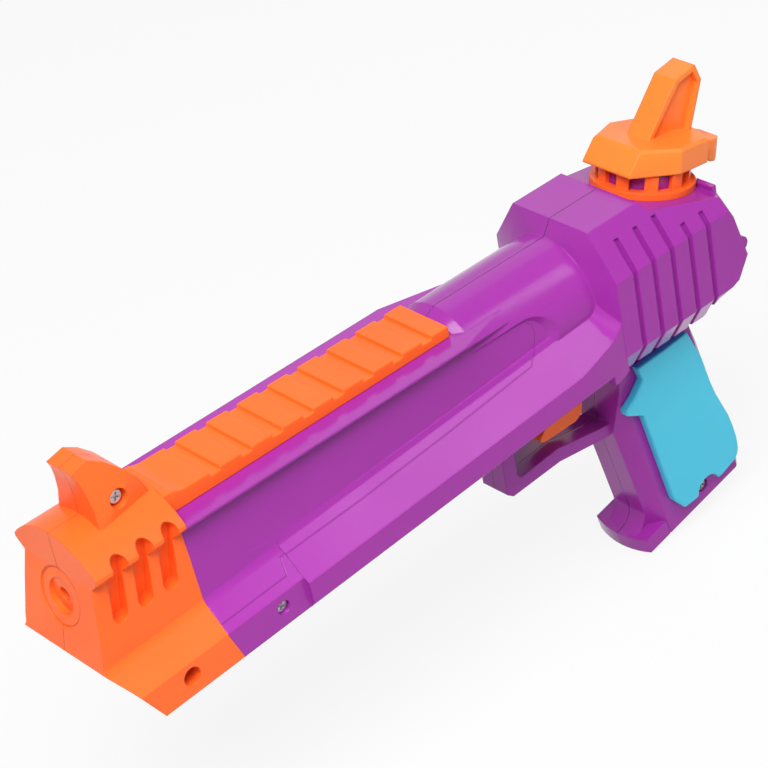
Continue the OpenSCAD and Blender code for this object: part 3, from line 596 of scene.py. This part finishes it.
def makePistonLip():
    # cup seal with a lip that opens to the water
    values = pistonLip
    wide = values["back"] - values["front"]
    wall = (values["outer"] - values["inner"]) * values["wall"]
    profile = [(values[side] + walls * wall, share * wide)
               for side, walls, share in values["section"]]
    turn = Matrix.Rotation(math.radians(90), 4, "Y")
    place = Matrix.Translation((values["front"], 0, values["axis"])) @ turn
    lip = spinProfile("pistonLipSeal", profile, values["around"], place)
    lip.data.materials.append(materials["sealRubber"])
    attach(lip, "trigger_unit")
    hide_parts("piston_seal")


returnCoil = {"axis": -0.030, "front": 0.23156, "back": 0.24524, "radius": 0.0044, "wire": 0.0004,
              "turns": 5, "closed": 0.6, "perTurn": 28, "sides": 10, "travel": 0.009}


def coilReach(turn):
    # how far the wire has gone along the axis: close-wound ends, open turns between them
    values = returnCoil
    wire, closed, turns = values["wire"], values["closed"], values["turns"]
    reach = values["back"] - values["front"] - 2 * wire
    shut = 2 * wire * closed
    if turn < closed:
        return 2 * wire * turn
    if turn > turns - closed:
        return reach - 2 * wire * (turns - turn)
    return shut + (reach - 2 * shut) * (turn - closed) / (turns - 2 * closed)


def makeReturnCoil():
    values = returnCoil
    wire = values["wire"]
    spins = [2 * math.pi * side / values["sides"] for side in range(values["sides"])]
    form = bmesh.new()
    rings = []
    for step in range(values["turns"] * values["perTurn"] + 1):
        turn = step / values["perTurn"]
        angle = 2 * math.pi * turn
        centre = Vector((values["front"] + wire + coilReach(turn), 0, values["axis"]))
        outward = Vector((0, math.cos(angle), math.sin(angle)))
        rings.append([form.verts.new(centre + outward * (values["radius"] + wire * math.cos(spin))
                                     + Vector((wire * math.sin(spin), 0, 0))) for spin in spins])
    for here, there in zip(rings, rings[1:]):
        joinLoops(form, here, there)
    form.faces.new(rings[0])
    form.faces.new(rings[-1])
    coil = finishForm("returnCoil", form)
    coil.data.materials.append(materials["screwSteel"])
    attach(coil, "housing")
    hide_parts("return_spring")
    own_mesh(coil)


makeRail()
makeCapSeal()
makePistonLip()
makeReturnCoil()
print("rail, seals and spring made")

studio = {"floorHalf": 4.0, "floorCentre": (0.13, 0), "floorGap": 0.0005,
          "floorTone": tone(222, 222, 222), "glow": 0.88,
          "roomTone": (1, 1, 1, 1), "roomLevel": 0.18}


def addSeenMask(tree):
    # 1 where the camera, a reflection or glass looks, 0 for the light on the object
    path = addNode(tree, "ShaderNodeLightPath")
    seen = addNode(tree, "ShaderNodeMath", operation="MAXIMUM")
    clear = addNode(tree, "ShaderNodeMath", operation="MAXIMUM")
    tree.links.new(path.outputs["Is Camera Ray"], seen.inputs[0])
    tree.links.new(path.outputs["Is Glossy Ray"], seen.inputs[1])
    tree.links.new(seen.outputs[0], clear.inputs[0])
    tree.links.new(path.outputs["Is Transmission Ray"], clear.inputs[1])
    return clear.outputs[0]


def makeFloor():
    material = bpy.data.materials.new("paleFloor")
    material.use_nodes = True
    tree = material.node_tree
    tree.nodes.clear()
    output = addNode(tree, "ShaderNodeOutputMaterial")
    matte = addNode(tree, "ShaderNodeBsdfDiffuse")
    setInputs(matte, {"Color": studio["floorTone"]})
    glow = addNode(tree, "ShaderNodeEmission")
    share = addNode(tree, "ShaderNodeMath", operation="MULTIPLY")
    setInputs(share, {1: studio["glow"]})
    blend = addNode(tree, "ShaderNodeMixShader")
    links = tree.links
    links.new(addSeenMask(tree), share.inputs[0])
    links.new(share.outputs[0], blend.inputs["Fac"])
    links.new(matte.outputs[0], blend.inputs[1])
    links.new(glow.outputs[0], blend.inputs[2])
    links.new(blend.outputs[0], output.inputs["Surface"])
    half = studio["floorHalf"]
    corners = [(-half, -half, 0), (half, -half, 0), (half, half, 0), (-half, half, 0)]
    mesh = bpy.data.meshes.new("floor")
    mesh.from_pydata(corners, [], [(0, 1, 2, 3)])
    mesh.materials.append(material)
    floor = bpy.data.objects.new("floor", mesh)
    floor.location = (*studio["floorCentre"], cadBox[0].z - studio["floorGap"])
    bpy.context.scene.collection.objects.link(floor)


def makeWorld():
    world = bpy.data.worlds.new("softRoom")
    world.use_nodes = True
    tree = world.node_tree
    room = tree.nodes["Background"]
    setInputs(room, {"Color": studio["roomTone"], "Strength": studio["roomLevel"]})
    white = addNode(tree, "ShaderNodeBackground")
    setInputs(white, {"Color": studio["roomTone"]})
    blend = addNode(tree, "ShaderNodeMixShader")
    tree.links.new(addSeenMask(tree), blend.inputs["Fac"])
    tree.links.new(room.outputs[0], blend.inputs[1])
    tree.links.new(white.outputs[0], blend.inputs[2])
    tree.links.new(blend.outputs[0], tree.nodes["World Output"].inputs["Surface"])
    bpy.context.scene.world = world


lamps = {
    "keyLamp": {"place": (-0.34, -0.47, 1.08), "aim": (0.13, 0, -0.02), "size": 0.9, "watts": 22},
    "frontLamp": {"place": (-1.05, 0.1, 0.35), "aim": (0.1, 0, -0.03), "size": 0.7, "watts": 0.7},
    "backLamp": {"place": (0.74, -0.625, 0.87), "aim": (0.15, 0, 0), "size": 0.5, "watts": 2.4},
    "rimLamp": {"place": (0.78, 0.62, 0.78), "aim": (0.15, 0, 0), "size": 0.7, "watts": 0.8},
}


def makeLamps():
    for name, values in lamps.items():
        lampData = bpy.data.lights.new(name, "AREA")
        lampData.shape = "DISK"
        lampData.size = values["size"]
        lampData.energy = values["watts"]
        lamp = bpy.data.objects.new(name, lampData)
        lamp.location = values["place"]
        beam = Vector(values["aim"]) - Vector(values["place"])
        lamp.rotation_euler = beam.to_track_quat("-Z", "Y").to_euler()
        bpy.context.scene.collection.objects.link(lamp)


makeFloor()
makeWorld()
makeLamps()
bpy.context.scene.view_settings.view_transform = "Standard"
print("studio ready")
